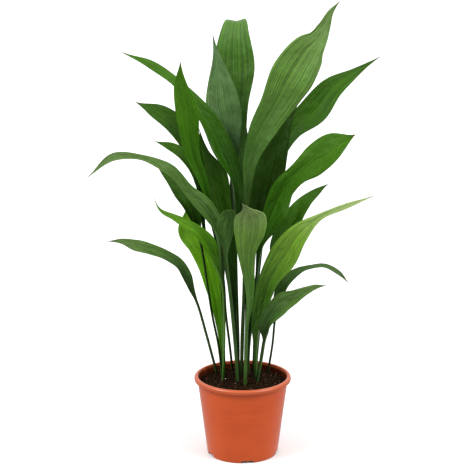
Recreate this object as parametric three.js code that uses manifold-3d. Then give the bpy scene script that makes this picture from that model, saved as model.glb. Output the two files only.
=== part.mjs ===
// A potted cast iron plant: a terracotta-coloured nursery pot of thin plastic, the potting soil
// in it, and 24 leaves that rise from the soil on their own stalks and arch outwards.
// Millimetres, +Z up. The origin is the centre of the pot's underside, and -Y is the front.

import * as THREE from 'three';
import { mergeVertices } from 'three/addons/utils/BufferGeometryUtils.js';
import Module from 'manifold-3d';

const wasm = await Module();
wasm.setup();

// Pot
const POT_HEIGHT = 158;
const LIP_RADIUS = 95;
const LIP_HEIGHT = 8.5;
const RIM_RADIUS = 87.5;
const BASE_RADIUS = 69.5;
const WALL = 1.6;
const WALL_SLOPE = 0.1285;
const FLOOR_BOTTOM = 2.4;
const FLOOR_TOP = 4.4;
const FOOT_WIDTH = 3.2;
const PAD_RADIUS = 12;
const POT_SIDES = 52;

// Drain notches where the floor meets the wall
const NOTCH_COUNT = 5;
const NOTCH_WIDTH = 24;
const NOTCH_HEIGHT = 5.2;
const NOTCH_FIRST_ANGLE = -82.2;

// Soil
const SOIL_GAP = 0.6;
const SOIL_EDGE_HEIGHT = 143.5;
const SOIL_HEAP = 3.5;
const SOIL_LUMP = 1.3;
const SOIL_SIDES = 36;

// Leaves: a channelled stalk that widens into a blade. The stalk's depth, and its rise above the
// midrib's line, are shares of its width.
const STALK_DEPTH = 0.95;
const STALK_CHANNEL = 18;
const STALK_RISE = 0.31;
const BURIED_DEPTH = 32;
const EDGE_THICKNESS = 0.7;
const KEEL_DEPTH = 2.4;
const STALK_STEPS = 5;
const BLADE_STEPS = 15;
const ACROSS = [-1, -0.5, 0, 0.5, 1];
const HOLE_GAP = 1.9;
const HOLE_SIDES = 8;

// One entry for each leaf. path runs from the soil to the tip, collar is the point of it where the
// blade begins, stalk is the stalk's width, and widths are the blade's at even steps between its ends.
// heading is the compass angle that the leaf leans to (0 is +X, 90 is +Y), roll turns the blade about
// its midrib, fold is the angle of each half above flat, both from base to tip, and wave is the height
// and count of the margin's waves.
const LEAVES = [
  {
    name: 'leaf_tall_right', colour: '#3f7a22', collar: 4, stalk: 5.2,
    path: [[-3, 33, 148], [-2, 38, 224], [1, 42, 299], [3, 45, 376], [8, 46, 470], [9, 46, 528], [15, 45, 586],
      [36, 44, 641], [65, 44, 691], [91, 45, 741], [123, 54, 790], [142, 61, 811], [155, 68, 834],
      [167, 75, 860], [185, 82, 881]],
    widths: [12, 20, 27, 35, 45, 56, 63, 70, 80, 88, 83, 70, 41, 25, 12],
    heading: 98, roll: [0, 0, 0], fold: [45, 15, 8], wave: [2, 2.5],
  },
  {
    name: 'leaf_tall_back', colour: '#37701f', collar: 3, stalk: 4.8,
    path: [[-1, 60, 148], [1, 66, 209], [3, 71, 291], [5, 77, 367], [0, 87, 450], [-6, 98, 559],
      [-12, 110, 646], [-16, 122, 743], [-16, 134, 804], [-14, 150, 827], [-13, 172, 833], [-11, 198, 824],
      [-9, 230, 792], [-6, 256, 748]],
    widths: [8, 18, 32, 50, 81, 52, 14], heading: 90, roll: [0, 0, 0], fold: [45, 15, 12, 22], wave: [2, 2],
  },
  {
    name: 'leaf_tall_middle', colour: '#5f8560', collar: 3, stalk: 5,
    path: [[-10, 50, 148], [-10, 52, 213], [-14, 56, 316], [-17, 64, 486], [-19, 67, 526], [-22, 70, 565],
      [-26, 72, 604], [-33, 75, 643], [-40, 79, 682], [-44, 85, 721], [-49, 92, 760], [-58, 108, 815]],
    widths: [7, 11, 19, 28, 36, 47, 59, 68, 71, 68, 57, 43, 27, 14, 6],
    heading: 105, roll: [0, 0, 0], fold: [45, 15, 8], wave: [2, 2],
  },
  {
    name: 'leaf_long_arch_left', colour: '#3a7526', collar: 3, stalk: 4.8,
    path: [[-9, 18, 148], [-9, 20, 224], [-12, 24, 325], [-14, 32, 434], [-14, 37, 489], [-21, 42, 544],
      [-42, 45, 596], [-65, 48, 646], [-96, 50, 692], [-133, 51, 733], [-180, 54, 762], [-233, 56, 788]],
    widths: [14, 40, 60, 46, 36, 26, 27],
    heading: 180, roll: [-40, -45, -20], fold: [50, 20, 10], wave: [2, 3],
  },
  {
    name: 'leaf_upright_left', colour: '#336b1e', collar: 3, stalk: 4.6,
    path: [[-36, 26, 148], [-38, 25, 243], [-42, 24, 335], [-52, 22, 416], [-58, 19, 462], [-67, 15, 508],
      [-80, 11, 553], [-96, 5, 597], [-103, -4, 643], [-108, -13, 689], [-117, -22, 734], [-116, -32, 780]],
    widths: [8, 14, 22, 30, 40, 46, 28], heading: 110, roll: [0, 0, 0], fold: [50, 20, 10], wave: [2, 2.5],
  },
  {
    name: 'leaf_inner_left', colour: '#245312', collar: 2, stalk: 4.8,
    path: [[-10, 6, 148], [-12, 10, 227], [-15, 14, 271], [-21, 18, 327], [-24, 23, 376], [-27, 25, 413],
      [-33, 26, 461], [-43, 27, 507], [-52, 27, 555], [-71, 27, 599], [-84, 28, 645]],
    widths: [17, 29, 32, 32, 41, 45, 14], heading: 95, roll: [0, 0, 0], fold: [45, 25, 15], wave: [1.5, 2],
  },
  {
    name: 'leaf_rear_left_upper', colour: '#326a1e', collar: 4, stalk: 4.2,
    path: [[-21, 70, 148], [-25, 74, 187], [-34, 80, 263], [-38, 84, 328], [-49, 90, 388], [-59, 94, 432],
      [-70, 97, 475], [-81, 103, 519], [-89, 110, 562], [-106, 119, 603], [-136, 129, 634], [-173, 141, 657],
      [-212, 154, 675]],
    widths: [9, 23, 38, 50, 52, 47, 39],
    heading: 165, roll: [-30, -50, -30], fold: [50, 20, 10], wave: [2, 2],
  },
  {
    name: 'leaf_rear_left_lower', colour: '#2c611a', collar: 3, stalk: 3.8,
    path: [[-38, 57, 148], [-39, 58, 232], [-47, 60, 325], [-66, 63, 406], [-76, 64, 437], [-81, 66, 468],
      [-82, 68, 499], [-83, 72, 531], [-96, 78, 560], [-118, 85, 582], [-144, 96, 596], [-172, 106, 605]],
    widths: [8, 15, 24, 34, 32, 27, 22],
    heading: 170, roll: [-30, -45, -30], fold: [50, 20, 10], wave: [1.5, 2],
  },
  {
    name: 'leaf_big_arch_left', colour: '#4c8a2c', collar: 2, stalk: 4.6,
    path: [[-38, 13, 148], [-38, 8, 238], [-38, 0, 332], [-42, -5, 388], [-50, -10, 444], [-73, -22, 494],
      [-109, -36, 535], [-143, -50, 578], [-189, -66, 606], [-241, -84, 608], [-286, -98, 577]],
    widths: [16, 40, 50, 34, 37, 15, 20],
    heading: 190, roll: [-60, -42, -35, -35], fold: [50, 25, 15], wave: [2.5, 3],
  },
  {
    name: 'leaf_dark_left', colour: '#1f4a11', collar: 3, stalk: 4,
    path: [[-41, 31, 148], [-48, 26, 211], [-60, 18, 276], [-79, 8, 410], [-84, 6, 434], [-91, 5, 457],
      [-97, 4, 481], [-106, 2, 504], [-120, 2, 525], [-134, 3, 544], [-151, 5, 562], [-166, 8, 581]],
    widths: [9, 22, 32, 37, 38, 31, 16],
    heading: 175, roll: [-40, -50, -30], fold: [50, 25, 10], wave: [1.5, 2],
  },
  {
    name: 'leaf_thin_tail_left', colour: '#41752a', collar: 2, stalk: 4,
    path: [[-39, 0, 148], [-36, -10, 254], [-40, -26, 349], [-47, -34, 379], [-59, -43, 407], [-70, -53, 435],
      [-85, -65, 461], [-107, -77, 480], [-131, -89, 497], [-154, -103, 514], [-166, -114, 547]],
    widths: [11, 28, 42, 30, 24, 16, 12],
    heading: 200, roll: [-50, -55, -20], fold: [50, 25, 10], wave: [1.5, 2],
  },
  {
    name: 'leaf_bright_left', colour: '#5e9a08', collar: 1, stalk: 5.4,
    path: [[-39, 43, 148], [-40, 43, 170], [-44, 41, 211], [-47, 40, 253], [-51, 38, 294], [-60, 36, 335],
      [-70, 34, 375], [-86, 31, 413], [-106, 28, 449], [-108, 26, 491]],
    widths: [8, 18, 29, 36, 41, 43, 44], heading: 105, roll: [0, 0, 0], fold: [50, 20, 10], wave: [2, 2],
  },
  {
    name: 'leaf_rear_right', colour: '#3d7826', collar: 3, stalk: 4,
    path: [[22, 66, 148], [23, 68, 187], [25, 74, 258], [39, 90, 399], [44, 99, 457], [52, 109, 515],
      [70, 119, 571], [97, 133, 621], [142, 150, 655], [179, 167, 698], [225, 187, 729], [276, 208, 758]],
    widths: [8, 21, 32, 47, 65, 50, 22], heading: 20, roll: [40, 50, 30], fold: [50, 20, 10], wave: [2, 3],
  },
  {
    name: 'leaf_folded_right', colour: '#1f4d12', collar: 2, stalk: 4.6,
    path: [[9, 52, 148], [10, 54, 196], [18, 60, 276], [21, 63, 329], [22, 66, 381], [28, 69, 433],
      [38, 73, 485], [51, 79, 535], [64, 84, 586], [83, 88, 635], [107, 100, 680]],
    widths: [7, 11, 20, 52, 73, 59, 29], heading: 75, roll: [0, 0, 0], fold: [50, 30, 15], wave: [1.5, 2],
  },
  {
    name: 'leaf_broad_right', colour: '#447f29', collar: 3, stalk: 4.8,
    path: [[11, 38, 148], [13, 40, 203], [20, 40, 267], [28, 40, 351], [34, 35, 397], [45, 27, 442],
      [60, 18, 485], [79, 8, 527], [106, -6, 562], [140, -20, 591], [174, -34, 620], [209, -48, 647]],
    widths: [14, 30, 42, 48, 45, 69, 61], heading: 0, roll: [40, 58, 40], fold: [50, 20, 10], wave: [2, 2.5],
  },
  {
    name: 'leaf_shaded_right', colour: '#1e4b12', collar: 3, stalk: 4.4,
    path: [[25, 44, 148], [28, 46, 205], [30, 50, 276], [34, 57, 387], [53, 62, 436], [80, 66, 488],
      [106, 72, 530]],
    widths: [15, 26, 40, 46, 41, 26, 10], heading: 10, roll: [40, 50, 40], fold: [50, 20, 10], wave: [1.5, 2],
  },
  {
    name: 'leaf_low_right', colour: '#3c7225', collar: 3, stalk: 4.2,
    path: [[27, 30, 148], [31, 34, 209], [38, 42, 268], [54, 56, 346], [61, 64, 372], [68, 73, 398],
      [81, 82, 422], [96, 93, 443], [111, 104, 465], [128, 116, 484], [149, 128, 499], [171, 140, 512]],
    widths: [12, 32, 42, 43, 36, 27, 18], heading: 20, roll: [40, 50, 30], fold: [50, 20, 10], wave: [2, 2],
  },
  {
    name: 'leaf_long_tip_right', colour: '#7fa050', collar: 1, stalk: 6.6,
    path: [[26, 16, 148], [26, 12, 201], [32, 6, 257], [44, -3, 311], [59, -16, 364], [86, -32, 411],
      [111, -50, 457], [147, -71, 495], [193, -91, 519], [240, -110, 544]],
    widths: [27, 46, 54, 66, 46, 17, 15],
    heading: -10, roll: [50, 60, 30], fold: [50, 20, 10], wave: [2, 2.5],
  },
  {
    name: 'leaf_drooping_right', colour: '#37701f', collar: 2, stalk: 4.2,
    path: [[52, 56, 148], [60, 56, 202], [64, 56, 247], [68, 56, 276], [75, 57, 305], [87, 58, 332],
      [111, 62, 349], [138, 69, 357], [166, 78, 356], [192, 84, 342], [211, 88, 322]],
    widths: [11, 27, 30, 27, 21, 25, 18],
    heading: 0, roll: [60, 45, 0, 30], fold: [45, 20, 10], wave: [1.5, 2],
  },
  {
    name: 'leaf_lowest_right', colour: '#447a2b', collar: 2, stalk: 5.6,
    path: [[28, -14, 148], [36, -16, 194], [42, -22, 235], [48, -27, 257], [52, -32, 280], [64, -38, 300],
      [80, -44, 317], [99, -52, 330], [116, -60, 344], [136, -67, 356], [157, -76, 363]],
    widths: [36, 38, 45, 46, 33, 22, 14],
    heading: -10, roll: [45, 55, 30], fold: [45, 20, 10], wave: [1.5, 2],
  },
  {
    name: 'leaf_front_curl', colour: '#5c8238', collar: 1, stalk: 7.2,
    path: [[5, -22, 148], [8, -42, 274], [13, -52, 315], [13, -64, 355], [9, -78, 394], [7, -94, 433],
      [12, -114, 470], [13, -138, 505], [7, -170, 531], [-3, -205, 552]],
    widths: [17, 24, 28, 40, 62, 58, 18], heading: -90, roll: [0, 0, 0], fold: [50, 20, 10], wave: [2, 2],
  },
  {
    name: 'leaf_front_upright', colour: '#356c20', collar: 3, stalk: 6.8,
    path: [[-10, -6, 148], [-14, -8, 212], [-23, -20, 316], [-31, -38, 392], [-32, -45, 414], [-32, -53, 436],
      [-33, -63, 457], [-32, -75, 477], [-28, -89, 495], [-27, -107, 510], [-26, -127, 521], [-28, -150, 525]],
    widths: [9, 22, 32, 37, 32, 22, 9], heading: -90, roll: [0, 0, 0], fold: [45, 20, 10], wave: [1.5, 2],
  },
  {
    name: 'leaf_lowest_left', colour: '#3f7826', collar: 2, stalk: 4.6,
    path: [[-53, 53, 148], [-72, 56, 222], [-91, 60, 289], [-104, 62, 315], [-116, 64, 340], [-129, 66, 366],
      [-154, 69, 383], [-182, 72, 392], [-210, 75, 400], [-237, 78, 409], [-266, 80, 409]],
    widths: [19, 31, 29, 25, 27, 29, 13],
    heading: 185, roll: [-45, -40, -50], fold: [45, 20, 10], wave: [1.5, 2.5],
  },
  {
    name: 'leaf_dark_back', colour: '#1c450f', collar: 2, stalk: 4.4,
    path: [[6, 75, 148], [7, 80, 246], [8, 104, 360], [3, 130, 461], [3, 146, 519], [5, 168, 585],
      [7, 186, 633]],
    widths: [12, 33, 53, 60, 53, 34, 13], heading: 85, roll: [0, 0, 0], fold: [45, 20, 10], wave: [1.5, 2],
  },
];

// Solids: a closed mesh with its shared vertices merged, for cutting
function toSolid(geometry) {
  geometry.deleteAttribute('normal');
  geometry.deleteAttribute('uv');
  const merged = mergeVertices(geometry, 1e-3);
  const corners = merged.index.array;
  const kept = [];
  for (let i = 0; i < corners.length; i += 3) {
    const [a, b, c] = corners.slice(i, i + 3);
    if (a !== b && b !== c && c !== a) kept.push(a, b, c);
  }
  return new wasm.Manifold(new wasm.Mesh({
    numProp: 3,
    vertProperties: new Float32Array(merged.attributes.position.array),
    triVerts: new Uint32Array(kept),
  }));
}

function toGeometry(solid) {
  const mesh = solid.getMesh();
  const geometry = new THREE.BufferGeometry();
  geometry.setAttribute('position', new THREE.BufferAttribute(mesh.vertProperties, 3));
  geometry.setIndex(new THREE.BufferAttribute(mesh.triVerts, 1));
  geometry.computeVertexNormals();
  return geometry;
}

function revolve(profile, sides) {
  const points = profile.map(([radius, height]) => new THREE.Vector2(radius, height));
  return new THREE.LatheGeometry(points, sides).rotateX(Math.PI / 2);
}

// Pot: the wall's outer radius at a height
function wallRadius(height) {
  return BASE_RADIUS + WALL_SLOPE * height;
}

// Pot: foot ring and centre pad on the ground, a raised floor between them, a thin tapering wall
// and a rolled lip that is open underneath
function potProfile() {
  const lipBottom = POT_HEIGHT - LIP_HEIGHT;
  const roof = POT_HEIGHT - 3.4;
  const skirt = LIP_RADIUS - 2.4;
  const footInner = BASE_RADIUS - FOOT_WIDTH;
  return [
    [0, 0],
    [PAD_RADIUS, 0],
    [PAD_RADIUS + 1.5, FLOOR_BOTTOM],
    [footInner - 1.5, FLOOR_BOTTOM],
    [footInner, 0],
    [BASE_RADIUS - 1, 0],
    [wallRadius(1.2), 1.2],
    [wallRadius(75), 75],
    [wallRadius(142), 142],
    [wallRadius(roof), roof],
    [skirt - 0.4, roof],
    [skirt, lipBottom],
    [LIP_RADIUS - 0.8, lipBottom],
    [LIP_RADIUS, lipBottom + 1],
    [LIP_RADIUS, lipBottom + 3.6],
    [LIP_RADIUS - 1.2, POT_HEIGHT - 1.6],
    [LIP_RADIUS - 3.6, POT_HEIGHT - 0.2],
    [RIM_RADIUS + 2, POT_HEIGHT],
    [RIM_RADIUS, POT_HEIGHT - 1.4],
    [wallRadius(142) - WALL, 142],
    [wallRadius(75) - WALL, 75],
    [wallRadius(FLOOR_TOP + 2) - WALL, FLOOR_TOP + 2],
    [wallRadius(FLOOR_TOP) - WALL - 2, FLOOR_TOP],
    [0, FLOOR_TOP],
  ];
}

function makePot() {
  let pot = toSolid(revolve(potProfile(), POT_SIDES));
  for (let i = 0; i < NOTCH_COUNT; i += 1) {
    const angle = THREE.MathUtils.degToRad(NOTCH_FIRST_ANGLE + (i * 360) / NOTCH_COUNT);
    const box = new THREE.BoxGeometry(16, NOTCH_WIDTH, NOTCH_HEIGHT * 2);
    box.translate(BASE_RADIUS, 0, 0).rotateZ(angle);
    pot = pot.subtract(toSolid(box));
  }
  return toGeometry(pot);
}

// Soil: fills the pot to a little below the rim, with a lumpy top that is highest in the middle
function soilHeight(x, y) {
  const fromCentre = Math.hypot(x, y) / wallRadius(SOIL_EDGE_HEIGHT);
  const heap = SOIL_HEAP * (1 - fromCentre ** 2);
  const lumps = Math.sin(x / 9 + 1.3) * Math.cos(y / 11 - 0.4) + 0.6 * Math.sin((x - y) / 6.5);
  return SOIL_EDGE_HEIGHT + heap + SOIL_LUMP * lumps * (1 - fromCentre ** 4);
}

function makeSoil(stalkHoles) {
  const bottom = FLOOR_TOP + SOIL_GAP;
  const edge = (height) => wallRadius(height) - WALL - SOIL_GAP;
  const topRadius = edge(SOIL_EDGE_HEIGHT);
  const profile = [[0, bottom], [edge(bottom) - 2.4, bottom], [edge(bottom + 2.4), bottom + 2.4]];
  profile.push([edge(75), 75], [edge(SOIL_EDGE_HEIGHT - 6), SOIL_EDGE_HEIGHT - 6]);
  for (const share of [1, 0.84, 0.66, 0.48, 0.28, 0]) {
    profile.push([topRadius * share, SOIL_EDGE_HEIGHT]);
  }
  const geometry = revolve(profile, SOIL_SIDES);
  const place = geometry.attributes.position;
  for (let i = 0; i < place.count; i += 1) {
    if (place.getZ(i) > SOIL_EDGE_HEIGHT - 1) {
      place.setZ(i, soilHeight(place.getX(i), place.getY(i)));
    }
  }
  let soil = toSolid(geometry);
  for (const hole of stalkHoles) soil = soil.subtract(toSolid(hole));
  return toGeometry(soil);
}

// A value between evenly spaced ones, eased from each to the next
function along(values, t) {
  const place = THREE.MathUtils.clamp(t, 0, 1) * (values.length - 1);
  const step = Math.min(Math.floor(place), values.length - 2);
  const share = THREE.MathUtils.smoothstep(place - step, 0, 1);
  return THREE.MathUtils.lerp(values[step], values[step + 1], share);
}

// Leaf: its midrib as a smooth curve, with the length of the stalk and of the whole
function makeMidrib(leaf) {
  const points = leaf.path.map((point) => new THREE.Vector3(...point));
  const curve = new THREE.CatmullRomCurve3(points, false, 'centripetal');
  curve.arcLengthDivisions = 40 * (points.length - 1);
  const lengths = curve.getLengths();
  return { curve, stalk: lengths[40 * leaf.collar], whole: lengths[lengths.length - 1] };
}

// A smooth curve through evenly spaced values
function through(values, t) {
  const place = THREE.MathUtils.clamp(t, 0, 1) * (values.length - 1);
  const step = Math.min(Math.floor(place), values.length - 2);
  const share = place - step;
  const [start, end] = [values[step], values[step + 1]];
  const slopeIn = (end - values[Math.max(step - 1, 0)]) / 2;
  const slopeOut = (values[Math.min(step + 2, values.length - 1)] - start) / 2;
  const rise = end - start;
  return start + slopeIn * share + (3 * rise - 2 * slopeIn - slopeOut) * share ** 2
    + (slopeIn + slopeOut - 2 * rise) * share ** 3;
}

// Leaf: half of its width, where t runs from 0 at the collar to 1 at the tip
function halfWidth(leaf, t) {
  if (t <= 0) return leaf.stalk / 2;
  return Math.max(through([leaf.stalk, ...leaf.widths, 1], t) / 2, 0.5);
}

// Leaf: thickness under each line of the section, thin at the margins with a keel under the midrib,
// and deep and round along the stalk
function thickness(leaf, across, t, stalkShare) {
  const keel = KEEL_DEPTH * (1 - t) ** 1.5 * Math.max(0, 1 - 2 * Math.abs(across));
  const blade = EDGE_THICKNESS + 0.2 * (1 - Math.abs(across)) * (1 - t) + keel;
  const stalk = leaf.stalk * STALK_DEPTH * Math.sqrt(1 - 0.9 * across * across);
  return THREE.MathUtils.lerp(blade, stalk, stalkShare);
}

// Leaf: one section at a distance from the soil, as points of the upper face, then of the lower
function section(leaf, midrib, distance) {
  const place = THREE.MathUtils.clamp(distance / midrib.whole, 0, 1);
  const tangent = midrib.curve.getTangentAt(place);
  const centre = midrib.curve.getPointAt(place).addScaledVector(tangent, Math.min(distance, 0));
  const t = Math.min(1, (distance - midrib.stalk) / (midrib.whole - midrib.stalk));
  const stalkShare = t <= 0 ? 1 : Math.max(0, 1 - t / 0.2) ** 2;

  const heading = THREE.MathUtils.degToRad(leaf.heading);
  const side = new THREE.Vector3(Math.sin(heading), -Math.cos(heading), 0);
  side.addScaledVector(tangent, -side.dot(tangent)).normalize();
  side.applyAxisAngle(tangent, THREE.MathUtils.degToRad(along(leaf.roll, t)));
  const up = new THREE.Vector3().crossVectors(side, tangent);

  const foldAngle = THREE.MathUtils.lerp(along(leaf.fold, t), STALK_CHANNEL, stalkShare);
  const fold = THREE.MathUtils.degToRad(foldAngle);
  const half = halfWidth(leaf, t);
  const [waveHeight, waveCount] = leaf.wave;
  const waveSize = t <= 0 ? 0 : waveHeight * Math.min(1, half / 15);

  const upper = [];
  const lower = [];
  for (const across of ACROSS) {
    const phase = 2 * Math.PI * waveCount * t + (across > 0 ? 1.1 : 0) + heading;
    const raise = half * Math.abs(across) * Math.sin(fold) + waveSize * across * across * Math.sin(phase);
    const top = centre.clone()
      .addScaledVector(side, half * across * Math.cos(fold))
      .addScaledVector(up, raise + stalkShare * STALK_RISE * leaf.stalk);
    upper.push(top);
    lower.push(top.clone().addScaledVector(up, -thickness(leaf, across, t, stalkShare) / Math.cos(fold)));
  }
  return [...upper, ...lower.reverse()];
}

// Leaf: the faces between two sections, split alike above and below and mirrored at the midrib
function stitch(faces, first, next, ring) {
  const cells = ACROSS.length - 1;
  const last = ring - 1;
  const quad = (a, b, c, d, turned) => {
    if (turned) faces.push(a, b, d, b, c, d);
    else faces.push(a, b, c, a, c, d);
  };
  for (let i = 0; i < cells; i += 1) {
    const turned = i >= cells / 2;
    quad(first + i, first + i + 1, next + i + 1, next + i, turned);
    quad(first + last - i - 1, first + last - i, next + last - i, next + last - i - 1, !turned);
  }
  quad(first + cells, first + cells + 1, next + cells + 1, next + cells, false);
  quad(first + last, first, next, next + last, false);
}

// Leaf: the flat end of a section
function closeEnd(faces, first, ring, outwards) {
  const last = ring - 1;
  for (let i = 0; i < ACROSS.length - 1; i += 1) {
    const [a, b, c, d] = [first + i, first + i + 1, first + last - i - 1, first + last - i];
    if (outwards) faces.push(a, b, c, a, c, d);
    else faces.push(a, c, b, a, d, c);
  }
}

function makeLeaf(leaf, midrib) {
  const distances = [-BURIED_DEPTH];
  for (let i = 0; i <= STALK_STEPS; i += 1) distances.push((midrib.stalk * i) / STALK_STEPS);
  const blade = midrib.whole - midrib.stalk;
  for (let i = 1; i <= BLADE_STEPS; i += 1) distances.push(midrib.stalk + (blade * i) / BLADE_STEPS);

  const sections = distances.map((distance) => section(leaf, midrib, distance));
  const ring = sections[0].length;
  const faces = [];
  for (let i = 0; i + 1 < sections.length; i += 1) stitch(faces, i * ring, (i + 1) * ring, ring);
  closeEnd(faces, 0, ring, false);
  closeEnd(faces, (sections.length - 1) * ring, ring, true);

  const geometry = new THREE.BufferGeometry().setFromPoints(sections.flat());
  geometry.setIndex(faces);
  geometry.computeVertexNormals();
  return geometry;
}

// Soil: the plain hole that a leaf's stalk stands in
function stalkHole(leaf, midrib) {
  const radius = leaf.stalk / 2 + HOLE_GAP;
  const direction = midrib.curve.getTangentAt(0);
  const depth = BURIED_DEPTH + 0.6;
  const hole = new THREE.CylinderGeometry(radius, radius, depth + 12, HOLE_SIDES);
  hole.translate(0, (12 - depth) / 2, 0);
  hole.applyQuaternion(new THREE.Quaternion().setFromUnitVectors(new THREE.Vector3(0, 1, 0), direction));
  const root = midrib.curve.getPointAt(0);
  return hole.translate(root.x, root.y, root.z);
}

function named(name, geometry, colour, roughness) {
  const mesh = new THREE.Mesh(geometry, new THREE.MeshStandardMaterial({ color: colour, roughness, metalness: 0 }));
  mesh.name = name;
  return mesh;
}

const plant = new THREE.Group();
const midribs = LEAVES.map(makeMidrib);
plant.add(named('pot', makePot(), '#c65029', 0.5));
plant.add(named('soil', makeSoil(LEAVES.map((leaf, i) => stalkHole(leaf, midribs[i]))), '#2a1a10', 0.95));
LEAVES.forEach((leaf, i) => plant.add(named(leaf.name, makeLeaf(leaf, midribs[i]), leaf.colour, 0.45)));

export default plant;
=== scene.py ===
"""A potted cast iron plant on a pale floor in soft studio light.

The pot, the soil and every leaf are built here as finer pieces that stand for the CAD solids of the
same names. Lengths are in millimetres and become metres where a mesh is made.
"""
import math

import bpy
import numpy as np
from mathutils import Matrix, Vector, noise


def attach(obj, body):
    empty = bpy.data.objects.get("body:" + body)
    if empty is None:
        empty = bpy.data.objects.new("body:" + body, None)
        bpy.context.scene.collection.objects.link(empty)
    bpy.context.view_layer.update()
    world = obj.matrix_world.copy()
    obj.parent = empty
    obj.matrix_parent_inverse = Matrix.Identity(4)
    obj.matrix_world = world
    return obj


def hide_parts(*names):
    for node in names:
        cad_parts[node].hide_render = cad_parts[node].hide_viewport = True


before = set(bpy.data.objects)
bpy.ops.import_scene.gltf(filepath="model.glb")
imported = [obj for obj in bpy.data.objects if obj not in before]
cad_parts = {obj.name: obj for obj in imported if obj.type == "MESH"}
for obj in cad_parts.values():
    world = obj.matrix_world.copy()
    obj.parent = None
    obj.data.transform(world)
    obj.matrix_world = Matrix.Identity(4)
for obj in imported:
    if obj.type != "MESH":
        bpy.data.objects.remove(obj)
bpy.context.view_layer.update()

MM = 0.001

# Camera: it stands in front of the pot and looks a little down on it
CAMERA_PLACE = (-15, -2946, 1184)
CAMERA_PITCH = 14.14
CAMERA_LENS = 121.0

# Light: the surround's strength overhead and below, and the two soft sources' strengths. The sources'
# compass angles (0 is +X, 90 is +Y), their height above the floor and their width are in degrees.
OVERHEAD = 1.35
BELOW = 0.55
LEFT_LIGHT = 1.9
LEFT_COMPASS = 208
RIGHT_LIGHT = 1.8
RIGHT_COMPASS = 334
SUN_HEIGHT = 42
SUN_WIDTH = 28

# Floor: how far it runs to each side, out to the horizon
FLOOR_REACH = 60000

# Pot. A notch's box reaches NOTCH_REACH to each side of the foot. Soil stain and painted shade darken
# the wall's inside up to STAIN_AND_SHADE_TOP, and dust with painted sheen greys the lip from
# DUST_AND_SHEEN_BOTTOM, fully from DUST_AND_SHEEN_FULL up.
POT_HEIGHT = 158
LIP_RADIUS = 95
LIP_HEIGHT = 8.5
LIP_TOP_THICKNESS = 3.4
LIP_SKIRT_THICKNESS = 2.4
RIM_RADIUS = 87.5
BASE_RADIUS = 69.5
WALL = 1.6
WALL_SLOPE = 0.1285
FLOOR_BOTTOM = 2.4
FLOOR_TOP = 4.4
FOOT_WIDTH = 3.2
PAD_RADIUS = 12
POT_SIDES = 208
NOTCH_COUNT = 5
NOTCH_WIDTH = 24
NOTCH_HEIGHT = 5.2
NOTCH_REACH = 8
NOTCH_FIRST_ANGLE = -82.2
STAIN_AND_SHADE_TOP = 152.5
DUST_AND_SHEEN_BOTTOM = 150
DUST_AND_SHEEN_FULL = 153

# Soil. Crumbs are strewn over a disc of CRUMB_RINGS rings that stops CRUMB_MARGIN short of the wall.
SOIL_GAP = 0.6
SOIL_EDGE_HEIGHT = 143.5
SOIL_HEAP = 3.5
SOIL_LUMP = 1.3
SOIL_SIDES = 144
SOIL_RINGS = 48
CRUMB_SIDES = 40
CRUMB_RINGS = 13
CRUMB_MARGIN = 3.5

# Leaves. The stalk's depth, and its rise above the midrib's line, are shares of its width; its channel
# is an angle in degrees, and it fades into the blade over STALK_FADE of the blade's length. The
# margins' waves reach their height where the blade's half is FULL_WAVE_HALF_WIDTH wide or more, and
# the two margins are WAVE_OFFSET radians out of step.
STALK_DEPTH = 0.95
STALK_CHANNEL = 18
STALK_RISE = 0.31
BURIED_DEPTH = 12
EDGE_THICKNESS = 0.5
KEEL_DEPTH = 2.4
STALK_FADE = 0.2
FULL_WAVE_HALF_WIDTH = 15
WAVE_OFFSET = 1.1
STALK_STEPS = 26
BLADE_STEPS = 104
CELLS_ACROSS = 20

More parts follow.
